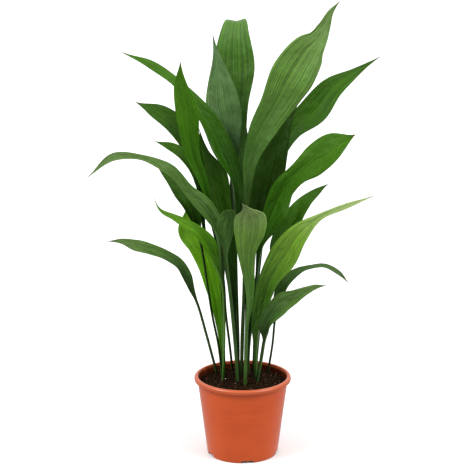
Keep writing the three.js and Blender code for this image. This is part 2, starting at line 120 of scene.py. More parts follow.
# One entry for each leaf, as in the part's source. path runs from the soil to the tip, collar is the
# point of it where the blade begins, stalk is the stalk's width, and widths are the blade's at even
# steps between its ends. heading is the compass angle that the leaf leans to (0 is +X, 90 is +Y), roll
# turns the blade about its midrib, fold is the angle of each half above flat, both from base to tip,
# and wave is the height and count of the margin's waves.
LEAVES = [
    dict(name="leaf_tall_right", collar=4, stalk=5.2, heading=98, wave=(2, 2.5),
         path=[(-3, 33, 148), (-2, 38, 224), (1, 42, 299), (3, 45, 376), (8, 46, 470), (9, 46, 528),
              (15, 45, 586), (36, 44, 641), (65, 44, 691), (91, 45, 741), (123, 54, 790),
              (142, 61, 811), (155, 68, 834), (167, 75, 860), (185, 82, 881)],
         widths=[12, 20, 27, 35, 45, 56, 63, 70, 80, 88, 83, 70, 41, 25, 12],
         roll=[0, 0, 0], fold=[45, 15, 8]),
    dict(name="leaf_tall_back", collar=3, stalk=4.8, heading=90, wave=(2, 2),
         path=[(-1, 60, 148), (1, 66, 209), (3, 71, 291), (5, 77, 367), (0, 87, 450), (-6, 98, 559),
              (-12, 110, 646), (-16, 122, 743), (-16, 134, 804), (-14, 150, 827), (-13, 172, 833),
              (-11, 198, 824), (-9, 230, 792), (-6, 256, 748)],
         widths=[8, 18, 32, 50, 81, 52, 14], roll=[0, 0, 0], fold=[45, 15, 12, 22]),
    dict(name="leaf_tall_middle", collar=3, stalk=5, heading=105, wave=(2, 2),
         path=[(-10, 50, 148), (-10, 52, 213), (-14, 56, 316), (-17, 64, 486), (-19, 67, 526),
              (-22, 70, 565), (-26, 72, 604), (-33, 75, 643), (-40, 79, 682), (-44, 85, 721),
              (-49, 92, 760), (-58, 108, 815)],
         widths=[7, 11, 19, 28, 36, 47, 59, 68, 71, 68, 57, 43, 27, 14, 6],
         roll=[0, 0, 0], fold=[45, 15, 8]),
    dict(name="leaf_long_arch_left", collar=3, stalk=4.8, heading=180, wave=(2, 3),
         path=[(-9, 18, 148), (-9, 20, 224), (-12, 24, 325), (-14, 32, 434), (-14, 37, 489),
              (-21, 42, 544), (-42, 45, 596), (-65, 48, 646), (-96, 50, 692), (-133, 51, 733),
              (-180, 54, 762), (-233, 56, 788)],
         widths=[14, 40, 60, 46, 36, 26, 27], roll=[-40, -45, -20], fold=[50, 20, 10]),
    dict(name="leaf_upright_left", collar=3, stalk=4.6, heading=110, wave=(2, 2.5),
         path=[(-36, 26, 148), (-38, 25, 243), (-42, 24, 335), (-52, 22, 416), (-58, 19, 462),
              (-67, 15, 508), (-80, 11, 553), (-96, 5, 597), (-103, -4, 643), (-108, -13, 689),
              (-117, -22, 734), (-116, -32, 780)],
         widths=[8, 14, 22, 30, 40, 46, 28], roll=[0, 0, 0], fold=[50, 20, 10]),
    dict(name="leaf_inner_left", collar=2, stalk=4.8, heading=95, wave=(1.5, 2),
         path=[(-10, 6, 148), (-12, 10, 227), (-15, 14, 271), (-21, 18, 327), (-24, 23, 376),
              (-27, 25, 413), (-33, 26, 461), (-43, 27, 507), (-52, 27, 555), (-71, 27, 599),
              (-84, 28, 645)],
         widths=[17, 29, 32, 32, 41, 45, 14], roll=[0, 0, 0], fold=[45, 25, 15]),
    dict(name="leaf_rear_left_upper", collar=4, stalk=4.2, heading=165, wave=(2, 2),
         path=[(-21, 70, 148), (-25, 74, 187), (-34, 80, 263), (-38, 84, 328), (-49, 90, 388),
              (-59, 94, 432), (-70, 97, 475), (-81, 103, 519), (-89, 110, 562), (-106, 119, 603),
              (-136, 129, 634), (-173, 141, 657), (-212, 154, 675)],
         widths=[9, 23, 38, 50, 52, 47, 39], roll=[-30, -50, -30], fold=[50, 20, 10]),
    dict(name="leaf_rear_left_lower", collar=3, stalk=3.8, heading=170, wave=(1.5, 2),
         path=[(-38, 57, 148), (-39, 58, 232), (-47, 60, 325), (-66, 63, 406), (-76, 64, 437),
              (-81, 66, 468), (-82, 68, 499), (-83, 72, 531), (-96, 78, 560), (-118, 85, 582),
              (-144, 96, 596), (-172, 106, 605)],
         widths=[8, 15, 24, 34, 32, 27, 22], roll=[-30, -45, -30], fold=[50, 20, 10]),
    dict(name="leaf_big_arch_left", collar=2, stalk=4.6, heading=190, wave=(2.5, 3),
         path=[(-38, 13, 148), (-38, 8, 238), (-38, 0, 332), (-42, -5, 388), (-50, -10, 444),
              (-73, -22, 494), (-109, -36, 535), (-143, -50, 578), (-189, -66, 606), (-241, -84, 608),
              (-286, -98, 577)],
         widths=[16, 40, 50, 34, 37, 15, 20], roll=[-60, -42, -35, -35], fold=[50, 25, 15]),
    dict(name="leaf_dark_left", collar=3, stalk=4, heading=175, wave=(1.5, 2),
         path=[(-41, 31, 148), (-48, 26, 211), (-60, 18, 276), (-79, 8, 410), (-84, 6, 434),
              (-91, 5, 457), (-97, 4, 481), (-106, 2, 504), (-120, 2, 525), (-134, 3, 544),
              (-151, 5, 562), (-166, 8, 581)],
         widths=[9, 22, 32, 37, 38, 31, 16], roll=[-40, -50, -30], fold=[50, 25, 10]),
    dict(name="leaf_thin_tail_left", collar=2, stalk=4, heading=200, wave=(1.5, 2),
         path=[(-39, 0, 148), (-36, -10, 254), (-40, -26, 349), (-47, -34, 379), (-59, -43, 407),
              (-70, -53, 435), (-85, -65, 461), (-107, -77, 480), (-131, -89, 497), (-154, -103, 514),
              (-166, -114, 547)],
         widths=[11, 28, 42, 30, 24, 16, 12], roll=[-50, -55, -20], fold=[50, 25, 10]),
    dict(name="leaf_bright_left", collar=1, stalk=5.4, heading=105, wave=(2, 2),
         path=[(-39, 43, 148), (-40, 43, 170), (-44, 41, 211), (-47, 40, 253), (-51, 38, 294),
              (-60, 36, 335), (-70, 34, 375), (-86, 31, 413), (-106, 28, 449), (-108, 26, 491)],
         widths=[8, 18, 29, 36, 41, 43, 44], roll=[0, 0, 0], fold=[50, 20, 10]),
    dict(name="leaf_rear_right", collar=3, stalk=4, heading=20, wave=(2, 3),
         path=[(22, 66, 148), (23, 68, 187), (25, 74, 258), (39, 90, 399), (44, 99, 457),
              (52, 109, 515), (70, 119, 571), (97, 133, 621), (142, 150, 655), (179, 167, 698),
              (225, 187, 729), (276, 208, 758)],
         widths=[8, 21, 32, 47, 65, 50, 22], roll=[40, 50, 30], fold=[50, 20, 10]),
    dict(name="leaf_folded_right", collar=2, stalk=4.6, heading=75, wave=(1.5, 2),
         path=[(9, 52, 148), (10, 54, 196), (18, 60, 276), (21, 63, 329), (22, 66, 381), (28, 69, 433),
              (38, 73, 485), (51, 79, 535), (64, 84, 586), (83, 88, 635), (107, 100, 680)],
         widths=[7, 11, 20, 52, 73, 59, 29], roll=[0, 0, 0], fold=[50, 30, 15]),
    dict(name="leaf_broad_right", collar=3, stalk=4.8, heading=0, wave=(2, 2.5),
         path=[(11, 38, 148), (13, 40, 203), (20, 40, 267), (28, 40, 351), (34, 35, 397), (45, 27, 442),
              (60, 18, 485), (79, 8, 527), (106, -6, 562), (140, -20, 591), (174, -34, 620),
              (209, -48, 647)],
         widths=[14, 30, 42, 48, 45, 69, 61], roll=[40, 58, 40], fold=[50, 20, 10]),
    dict(name="leaf_shaded_right", collar=3, stalk=4.4, heading=10, wave=(1.5, 2),
         path=[(25, 44, 148), (28, 46, 205), (30, 50, 276), (34, 57, 387), (53, 62, 436), (80, 66, 488),
              (106, 72, 530)],
         widths=[15, 26, 40, 46, 41, 26, 10], roll=[40, 50, 40], fold=[50, 20, 10]),
    dict(name="leaf_low_right", collar=3, stalk=4.2, heading=20, wave=(2, 2),
         path=[(27, 30, 148), (31, 34, 209), (38, 42, 268), (54, 56, 346), (61, 64, 372), (68, 73, 398),
              (81, 82, 422), (96, 93, 443), (111, 104, 465), (128, 116, 484), (149, 128, 499),
              (171, 140, 512)],
         widths=[12, 32, 42, 43, 36, 27, 18], roll=[40, 50, 30], fold=[50, 20, 10]),
    dict(name="leaf_long_tip_right", collar=1, stalk=6.6, heading=-10, wave=(2, 2.5),
         path=[(26, 16, 148), (26, 12, 201), (32, 6, 257), (44, -3, 311), (59, -16, 364),
              (86, -32, 411), (111, -50, 457), (147, -71, 495), (193, -91, 519), (240, -110, 544)],
         widths=[27, 46, 54, 66, 46, 17, 15], roll=[50, 60, 30], fold=[50, 20, 10]),
    dict(name="leaf_drooping_right", collar=2, stalk=4.2, heading=0, wave=(1.5, 2),
         path=[(52, 56, 148), (60, 56, 202), (64, 56, 247), (68, 56, 276), (75, 57, 305), (87, 58, 332),
              (111, 62, 349), (138, 69, 357), (166, 78, 356), (192, 84, 342), (211, 88, 322)],
         widths=[11, 27, 30, 27, 21, 25, 18], roll=[60, 45, 0, 30], fold=[45, 20, 10]),
    dict(name="leaf_lowest_right", collar=2, stalk=5.6, heading=-10, wave=(1.5, 2),
         path=[(28, -14, 148), (36, -16, 194), (42, -22, 235), (48, -27, 257), (52, -32, 280),
              (64, -38, 300), (80, -44, 317), (99, -52, 330), (116, -60, 344), (136, -67, 356),
              (157, -76, 363)],
         widths=[36, 38, 45, 46, 33, 22, 14], roll=[45, 55, 30], fold=[45, 20, 10]),
    dict(name="leaf_front_curl", collar=1, stalk=7.2, heading=-90, wave=(2, 2),
         path=[(5, -22, 148), (8, -42, 274), (13, -52, 315), (13, -64, 355), (9, -78, 394),
              (7, -94, 433), (12, -114, 470), (13, -138, 505), (7, -170, 531), (-3, -205, 552)],
         widths=[17, 24, 28, 40, 62, 58, 18], roll=[0, 0, 0], fold=[50, 20, 10]),
    dict(name="leaf_front_upright", collar=3, stalk=6.8, heading=-90, wave=(1.5, 2),
         path=[(-10, -6, 148), (-14, -8, 212), (-23, -20, 316), (-31, -38, 392), (-32, -45, 414),
              (-32, -53, 436), (-33, -63, 457), (-32, -75, 477), (-28, -89, 495), (-27, -107, 510),
              (-26, -127, 521), (-28, -150, 525)],
         widths=[9, 22, 32, 37, 32, 22, 9], roll=[0, 0, 0], fold=[45, 20, 10]),
    dict(name="leaf_lowest_left", collar=2, stalk=4.6, heading=185, wave=(1.5, 2.5),
         path=[(-53, 53, 148), (-72, 56, 222), (-91, 60, 289), (-104, 62, 315), (-116, 64, 340),
              (-129, 66, 366), (-154, 69, 383), (-182, 72, 392), (-210, 75, 400), (-237, 78, 409),
              (-266, 80, 409)],
         widths=[19, 31, 29, 25, 27, 29, 13], roll=[-45, -40, -50], fold=[45, 20, 10]),
    dict(name="leaf_dark_back", collar=2, stalk=4.4, heading=85, wave=(1.5, 2),
         path=[(6, 75, 148), (7, 80, 246), (8, 104, 360), (3, 130, 461), (3, 146, 519), (5, 168, 585),
              (7, 186, 633)],
         widths=[12, 33, 53, 60, 53, 34, 13], roll=[0, 0, 0], fold=[45, 20, 10]),
]

# Tones of living tissue, as the colours of a leaf's stalk, lower blade, upper blade and tip, and how
# glossy its skin is. The darker stalk and lower blade also hold painted shade from the clump. "fresh"
# is a young leaf, brightened with painted light that shines through it, "pale" one that yellows and
# pales towards its tip with painted sheen, "full" a grown one, "deep" an older one, "grey_sheen" one
# greyed with painted sheen, and "waxy_sheen" one with a waxy skin and a bluish-grey painted sheen
TONES = {
    "fresh": ("#4A7A20", "#467A0A", "#508208", "#5C8820", 0.2),
    "pale": ("#35591A", "#3A640E", "#648A28", "#9AAC72", 0.3),
    "full": ("#2A4A14", "#365C1A", "#446E20", "#4A7028", 0.25),
    "deep": ("#1A360C", "#264E08", "#345E0A", "#3A6410", 0.12),
    "grey_sheen": ("#2A4214", "#385A1E", "#4A6C27", "#567238", 0.3),
    "waxy_sheen": ("#28421A", "#36582A", "#486A34", "#507040", 0.3),
}

# The very end of a leaf, which has dried
DRY_TIP = "#5A5028"

# Each leaf's tone, and how light it is beside that tone. Low values also hold painted shade on the
# leaves deep in the clump or behind others, and the highest painted light on outer leaves
LEAF_TONES = {
    "leaf_tall_right": ("grey_sheen", 1.25),
    "leaf_tall_back": ("full", 0.8),
    "leaf_tall_middle": ("waxy_sheen", 0.93),
    "leaf_long_arch_left": ("deep", 0.9),
    "leaf_upright_left": ("deep", 1.2),
    "leaf_inner_left": ("deep", 0.45),
    "leaf_rear_left_upper": ("deep", 0.6),
    "leaf_rear_left_lower": ("deep", 0.9),
    "leaf_big_arch_left": ("grey_sheen", 0.85),
    "leaf_dark_left": ("deep", 0.65),
    "leaf_thin_tail_left": ("fresh", 0.85),
    "leaf_bright_left": ("fresh", 1.5),
    "leaf_rear_right": ("deep", 0.7),
    "leaf_folded_right": ("deep", 0.35),
    "leaf_broad_right": ("deep", 1.0),
    "leaf_shaded_right": ("deep", 1.0),
    "leaf_low_right": ("deep", 0.95),
    "leaf_long_tip_right": ("pale", 1.0),
    "leaf_drooping_right": ("full", 0.6),
    "leaf_lowest_right": ("grey_sheen", 0.92),
    "leaf_front_curl": ("pale", 1.05),
    "leaf_front_upright": ("full", 0.8),
    "leaf_lowest_left": ("grey_sheen", 1.05),
    "leaf_dark_back": ("deep", 0.3),
}


# Small helpers
def linear(colour):
    """An sRGB hex colour as the linear RGBA that Blender's sockets take."""
    parts = [int(colour[i:i + 2], 16) / 255 for i in (1, 3, 5)]
    return (*[c / 12.92 if c <= 0.04045 else ((c + 0.055) / 1.055) ** 2.4 for c in parts], 1.0)


def add(tree, kind, inputs=None, stops=None, **settings):
    """Adds a node with its settings, links and, for a colour ramp, its (place, hex colour) stops. An
    input is a value or the socket that feeds it."""
    node = tree.nodes.new(kind)
    for name, value in settings.items():
        setattr(node, name, value)
    for socket, value in (inputs or {}).items():
        if isinstance(value, bpy.types.NodeSocket):
            tree.links.new(value, node.inputs[socket])
        else:
            node.inputs[socket].default_value = value
    for i, (place, colour) in enumerate(stops or []):
        element = node.color_ramp.elements[i] if i < 2 else node.color_ramp.elements.new(place)
        element.position = place
        element.color = linear(colour)
    return node


def new_material(name):
    """An empty node material with its output, as (material, tree, output)."""
    material = bpy.data.materials.new(name)
    material.use_nodes = True
    tree = material.node_tree
    tree.nodes.clear()
    return material, tree, add(tree, "ShaderNodeOutputMaterial")


def new_object(name, points, faces, materials):
    """A smooth-shaded mesh object from points in millimetres."""
    mesh = bpy.data.meshes.new(name)
    mesh.from_pydata([tuple(p) for p in np.asarray(points) * MM], [], [tuple(f) for f in faces])
    mesh.shade_smooth()
    for material in materials:
        mesh.materials.append(material)
    piece = bpy.data.objects.new(name, mesh)
    bpy.context.scene.collection.objects.link(piece)
    return piece


def baked(piece):
    """The piece with its modifiers turned into a plain mesh, under the same name."""
    evaluated = piece.evaluated_get(bpy.context.evaluated_depsgraph_get())
    mesh = bpy.data.meshes.new_from_object(evaluated)
    piece.modifiers.clear()
    piece.data = mesh
    mesh.name = piece.name
    return piece


def place_piece(piece, slot, *nodes):
    """Sets the piece on the plant's one body and hides the CAD nodes it stands for. The slot is not
    used.
    """
    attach(piece, "root")
    if nodes:
        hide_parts(*nodes)


# Materials
def polypropylene(name, dark, middle, light, specular, bloom):
    """Injection-moulded polypropylene in terracotta: an even colour with a soft shine, faint flow marks
    round the wall, a fine moulded grain and a dull bloom that pales the pot towards its sides."""
    material, tree, output = new_material(name)
    place = add(tree, "ShaderNodeTexCoord").outputs["Object"]
    # Flow marks: level bands about 8 mm high that run round the wall
    level = add(tree, "ShaderNodeMapping", {"Vector": place, "Scale": (6, 6, 120)}).outputs[0]
    flow = add(tree, "ShaderNodeTexNoise", {"Vector": level, "Scale": 1.0, "Detail": 3}).outputs[0]
    cloud = add(tree, "ShaderNodeTexNoise", {"Vector": place, "Scale": 30, "Detail": 4}).outputs[0]
    blend = add(tree, "ShaderNodeMix", {"Factor": 0.5, 2: flow, 3: cloud}).outputs[0]
    colour = add(tree, "ShaderNodeValToRGB", {"Fac": blend},
                 stops=[(0.35, dark), (0.5, middle), (0.65, light)]).outputs["Color"]
    # Soil dust rubbed into the lip, which hands and potting mix touch, with painted sheen: the lip
    # greys a little towards a dull brown
    height = add(tree, "ShaderNodeSeparateXYZ", {0: place}).outputs["Z"]
    dust_and_sheen = add(tree, "ShaderNodeMapRange",
               {"Value": height, "From Min": DUST_AND_SHEEN_BOTTOM * MM, "From Max": DUST_AND_SHEEN_FULL * MM,
                "To Min": 0.0, "To Max": 0.3}).outputs[0]
    colour = add(tree, "ShaderNodeMix", {0: dust_and_sheen, 6: colour, 7: linear("#70533A")},
                 data_type="RGBA").outputs[2]
    # Moulded grain of about 0.7 mm
    grain = add(tree, "ShaderNodeTexNoise", {"Vector": place, "Scale": 1400, "Detail": 2}).outputs[0]
    fine = add(tree, "ShaderNodeBump", {"Height": grain, "Strength": 0.15, "Distance": 0.0002})
    waves = add(tree, "ShaderNodeBump", {"Height": flow, "Strength": 0.2, "Distance": 0.0005,
                                         "Normal": fine.outputs["Normal"]})
    shader = add(tree, "ShaderNodeBsdfPrincipled",
                 {"Base Color": colour, "Roughness": 0.35, "IOR": 1.49,
                  "Specular IOR Level": specular, "Sheen Weight": bloom, "Sheen Roughness": 0.3,
                  "Normal": waves.outputs["Normal"]})
    tree.links.new(shader.outputs[0], output.inputs["Surface"])
    return material


def leaf_tissue():
    """Living aspidistra leaf: leathery tissue under a waxy skin. Fine parallel veins run its length
    as lighter and darker streaks, the skin has a soft broad sheen, and a little light comes through."""
    material, tree, output = new_material("aspidistra_leaf")
    own = add(tree, "ShaderNodeAttribute", attribute_name="tissue").outputs["Color"]
    sheen = add(tree, "ShaderNodeAttribute", attribute_name="sheen").outputs["Fac"]
    under = add(tree, "ShaderNodeAttribute", attribute_name="underside").outputs["Fac"]
    blade = add(tree, "ShaderNodeUVMap", uv_map="blade").outputs["UV"]
    place = add(tree, "ShaderNodeTexCoord").outputs["Object"]

    # Veins under 1 mm apart, and ribs 1 to 3 mm apart that run on for a hand's breadth or more
    narrow = add(tree, "ShaderNodeMapping", {"Vector": blade, "Scale": (90, 10, 1)}).outputs[0]
    veins = add(tree, "ShaderNodeTexNoise",
                {"Vector": narrow, "Scale": 1.0, "Detail": 2, "Roughness": 0.5},
                noise_dimensions="2D").outputs[0]
    broad = add(tree, "ShaderNodeMapping", {"Vector": blade, "Scale": (32, 2, 1)}).outputs[0]
    ribs = add(tree, "ShaderNodeTexNoise",
               {"Vector": broad, "Scale": 1.0, "Detail": 4, "Roughness": 0.7},
               noise_dimensions="2D").outputs[0]
    patch = add(tree, "ShaderNodeTexNoise", {"Vector": place, "Scale": 14, "Detail": 2}).outputs[0]
    # The blade isn't flat between its ribs: it buckles a little, 3 to 6 cm from crest to crest
    wide = add(tree, "ShaderNodeMapping", {"Vector": blade, "Scale": (3, 24, 1)}).outputs[0]
    buckle = add(tree, "ShaderNodeTexNoise", {"Vector": wide, "Scale": 1.0, "Detail": 2},
                 noise_dimensions="2D").outputs[0]

    vein_light = add(tree, "ShaderNodeMapRange", {"Value": veins, "From Min": 0.3, "From Max": 0.7,
                                                  "To Min": 0.86, "To Max": 1.15}).outputs[0]
    rib_light = add(tree, "ShaderNodeMapRange", {"Value": ribs, "From Min": 0.34, "From Max": 0.66,
                                                 "To Min": 0.62, "To Max": 1.44}).outputs[0]
    patch_light = add(tree, "ShaderNodeMapRange", {"Value": patch, "From Min": 0.3, "From Max": 0.7,
                                                   "To Min": 0.9, "To Max": 1.1}).outputs[0]
    stripes = add(tree, "ShaderNodeMath", {0: vein_light, 1: rib_light},
                  operation="MULTIPLY").outputs[0]
    light = add(tree, "ShaderNodeMath", {0: stripes, 1: patch_light},
                operation="MULTIPLY").outputs[0]
    streaked = add(tree, "ShaderNodeVectorMath", {0: own, "Scale": light},
                   operation="SCALE").outputs[0]
    # The underside is nearly a third of the way to a paler, greyer green
    share = add(tree, "ShaderNodeMath", {0: under, 1: 0.3}, operation="MULTIPLY").outputs[0]
    colour = add(tree, "ShaderNodeMix", {0: share, 6: streaked, 7: linear("#557A3C")},
                 data_type="RGBA").outputs[2]

    gloss = add(tree, "ShaderNodeMapRange", {"Value": ribs, "From Min": 0.3, "From Max": 0.7,
                                             "To Min": 0.46, "To Max": 0.32}).outputs[0]
    relief = add(tree, "ShaderNodeBump", {"Height": veins, "Strength": 0.3, "Distance": 0.0003})
    ridge = add(tree, "ShaderNodeBump", {"Height": ribs, "Strength": 0.6, "Distance": 0.0012,
                                         "Normal": relief.outputs["Normal"]})
    swell = add(tree, "ShaderNodeBump", {"Height": buckle, "Strength": 0.7, "Distance": 0.009,
                                         "Normal": ridge.outputs["Normal"]})
    shader = add(tree, "ShaderNodeBsdfPrincipled",
                 {"Base Color": colour, "Roughness": gloss, "IOR": 1.42,
                  "Specular IOR Level": sheen, "Subsurface Weight": 0.1,
                  "Subsurface Radius": (0.9, 1.6, 0.4), "Subsurface Scale": 0.001,
                  "Normal": swell.outputs["Normal"]})
    tree.links.new(shader.outputs[0], output.inputs["Surface"])
    return material


def crumb_material(name, dark, light, roughness):
    """Potting mix: matt, moist, porous crumbs with next to no shine, in shades that change about every
    4 mm, so that few neighbours are alike."""
    material, tree, output = new_material(name)
    place = add(tree, "ShaderNodeTexCoord").outputs["Object"]
    spots = add(tree, "ShaderNodeTexNoise",
                {"Vector": place, "Scale": 260, "Detail": 4, "Roughness": 0.65}).outputs["Fac"]
    colour = add(tree, "ShaderNodeValToRGB", {"Fac": spots},
                 stops=[(0.42, dark), (0.62, light)]).outputs["Color"]
    bump = add(tree, "ShaderNodeBump", {"Height": spots, "Strength": 0.8, "Distance": 0.001})
    shader = add(tree, "ShaderNodeBsdfPrincipled",
                 {"Base Color": colour, "Roughness": roughness, "IOR": 1.4,
                  "Specular IOR Level": 0.08, "Normal": bump.outputs["Normal"]})
    tree.links.new(shader.outputs[0], output.inputs["Surface"])
    return material


# Pot
def wall_radius(height):
    """The wall's outer radius at a height, as the wall widens evenly towards the rim."""
    return BASE_RADIUS + WALL_SLOPE * height


def arc(centre, radius, start, end, steps):
    """Points of an arc in the profile's plane, from one angle to another in degrees."""
    turns = np.radians(np.linspace(start, end, steps))
    return [(centre[0] + radius * math.cos(a), centre[1] + radius * math.sin(a)) for a in turns]


def pot_profile():
    """The same section as the solid's, with its corners rounded as moulding leaves them."""
    lip_bottom = POT_HEIGHT - LIP_HEIGHT
    roof = POT_HEIGHT - LIP_TOP_THICKNESS
    skirt = LIP_RADIUS - LIP_SKIRT_THICKNESS
    foot_inner = BASE_RADIUS - FOOT_WIDTH
    # Underside: centre pad, raised floor and foot ring
    profile = [(0, 0), (PAD_RADIUS - 0.6, 0), (PAD_RADIUS, 0.2), (PAD_RADIUS + 1.5, FLOOR_BOTTOM)]
    profile += [(foot_inner - 1.5, FLOOR_BOTTOM), (foot_inner, 0.3), (foot_inner + 0.4, 0)]
    profile += [(BASE_RADIUS - 1.2, 0), (BASE_RADIUS - 0.5, 0.25), (wall_radius(1.2), 1.2)]
    # Outside of the wall, in rings 8 mm apart, then the lip's hollow and its skirt
    profile += [(wall_radius(h), h) for h in range(6, 143, 8)]
    profile += [(wall_radius(142) + 0.1, 142.6), (wall_radius(roof), roof), (skirt - 0.4, roof)]
    profile += [(skirt, lip_bottom + 0.3), (skirt + 0.3, lip_bottom), (LIP_RADIUS - 0.8, lip_bottom)]
    profile += [(LIP_RADIUS - 0.2, lip_bottom + 0.3), (LIP_RADIUS, lip_bottom + 1)]
    # Lip: upright at first, then rolled over to the rim
    profile += [(LIP_RADIUS, lip_bottom + 3.6)]
    profile += arc((LIP_RADIUS - 4.4, POT_HEIGHT - 4.6), 4.5, 12, 88, 9)
    profile += [(RIM_RADIUS + 1.6, POT_HEIGHT), (RIM_RADIUS + 0.5, POT_HEIGHT - 0.4)]
    profile += [(RIM_RADIUS, POT_HEIGHT - 1.4)]
    # Inside of the wall and top of the floor
    profile += [(wall_radius(h) - WALL, h) for h in (STAIN_AND_SHADE_TOP, 142, 110, 75, 40)]
    profile += [(wall_radius(FLOOR_TOP + 2) - WALL, FLOOR_TOP + 2)]
    profile += [(wall_radius(FLOOR_TOP) - WALL - 2, FLOOR_TOP), (0, FLOOR_TOP)]
    return profile


def revolve(profile, sides):
    """Points and faces of a closed solid turned about +Z, from a profile that starts and ends on it."""
    turns = [2 * math.pi * i / sides for i in range(sides)]
    points = [(0, 0, profile[0][1])]
    for radius, height in profile[1:-1]:
        points += [(radius * math.cos(a), radius * math.sin(a), height) for a in turns]
    points.append((0, 0, profile[-1][1]))
    rings = len(profile) - 2
    faces = []
    for i in range(sides):
        j = (i + 1) % sides
        faces.append((0, 1 + j, 1 + i))
        for ring in range(rings - 1):
            low, high = 1 + ring * sides, 1 + (ring + 1) * sides
            faces.append((low + i, low + j, high + j, high + i))
        top = 1 + (rings - 1) * sides
        faces.append((len(points) - 1, top + i, top + j))
    return points, faces


def make_notch_box(name, angle, material):
    """A box across the foot of the wall, at a compass angle, that cuts one drain notch."""
    turn = math.radians(angle)
    corners = []
    for x in (BASE_RADIUS - NOTCH_REACH, BASE_RADIUS + NOTCH_REACH):
        for y in (-NOTCH_WIDTH / 2, NOTCH_WIDTH / 2):
            for z in (-NOTCH_HEIGHT, NOTCH_HEIGHT):
                corners.append((x * math.cos(turn) - y * math.sin(turn),
                                x * math.sin(turn) + y * math.cos(turn), z))
    sides = [(0, 1, 3, 2), (4, 6, 7, 5), (0, 4, 5, 1), (2, 3, 7, 6), (0, 2, 6, 4), (1, 5, 7, 3)]
    return new_object(name, corners, sides, [material])


def make_pot(clean, soiled_and_shaded):
    """The pot, clean outside and, within, soil-stained and darkened with painted shade, with drain
    notches cut through its foot.
    """
    points, faces = revolve(pot_profile(), POT_SIDES)
    pot = new_object("nursery_pot", points, faces, [clean, soiled_and_shaded])
    boxes = []
    for i in range(NOTCH_COUNT):
        box = make_notch_box(f"notch_{i}", NOTCH_FIRST_ANGLE + i * 360 / NOTCH_COUNT, clean)
        cut = pot.modifiers.new(f"notch_{i}", "BOOLEAN")
        cut.operation = "DIFFERENCE"
        cut.solver = "EXACT"
        cut.object = box
        boxes.append(box)
    baked(pot)
    for box in boxes:
        bpy.data.objects.remove(box)
    # Moist soil stain and painted shade darken the wall's inside up to a little under the rim, and
    # the underside too
    for face in pot.data.polygons:
        height = face.center.z / MM
        radius = math.hypot(face.center.x, face.center.y) / MM
        inside = radius < wall_radius(height) - WALL / 2 and height < STAIN_AND_SHADE_TOP
        if inside and height > 0.1:
            face.material_index = 1
    pot.data.set_sharp_from_angle(angle=math.radians(40))
    place_piece(pot, "pot_plastic", "pot")


# Soil
def soil_height(x, y):
    """The soil's height at a place: a low heap with soft lumps that fade out at the wall."""
    from_centre = np.hypot(x, y) / wall_radius(SOIL_EDGE_HEIGHT)
    heap = SOIL_HEAP * (1 - from_centre ** 2)
    lumps = np.sin(x / 9 + 1.3) * np.cos(y / 11 - 0.4) + 0.6 * np.sin((x - y) / 6.5)
    return SOIL_EDGE_HEIGHT + heap + SOIL_LUMP * lumps * (1 - from_centre ** 4)


def make_soil(material):
    """The block of potting mix, with a crumbled top."""
    bottom = FLOOR_TOP + SOIL_GAP
    profile = [(0, bottom), (wall_radius(bottom) - WALL - SOIL_GAP - 2.4, bottom)]
    for height in (bottom + 2.4, 75, SOIL_EDGE_HEIGHT - 6):
        profile.append((wall_radius(height) - WALL - SOIL_GAP, height))
    edge = wall_radius(SOIL_EDGE_HEIGHT) - WALL - SOIL_GAP
    profile += [(edge * (1 - i / SOIL_RINGS), SOIL_EDGE_HEIGHT) for i in range(SOIL_RINGS + 1)]
    points, faces = revolve(profile, SOIL_SIDES)
    points = np.array(points)
    for point in points:
        if point[2] > SOIL_EDGE_HEIGHT - 1:
            x, y = point[0], point[1]
            coarse = noise.noise(Vector((x / 5, y / 5, 0)))
            fine = noise.noise(Vector((x / 1.8, y / 1.8, 7)))
            point[2] = soil_height(x, y) + 0.9 * coarse + 0.6 * fine
    soil = new_object("potting_soil", points, faces, [material])
    place_piece(soil, "potting_soil", "soil")


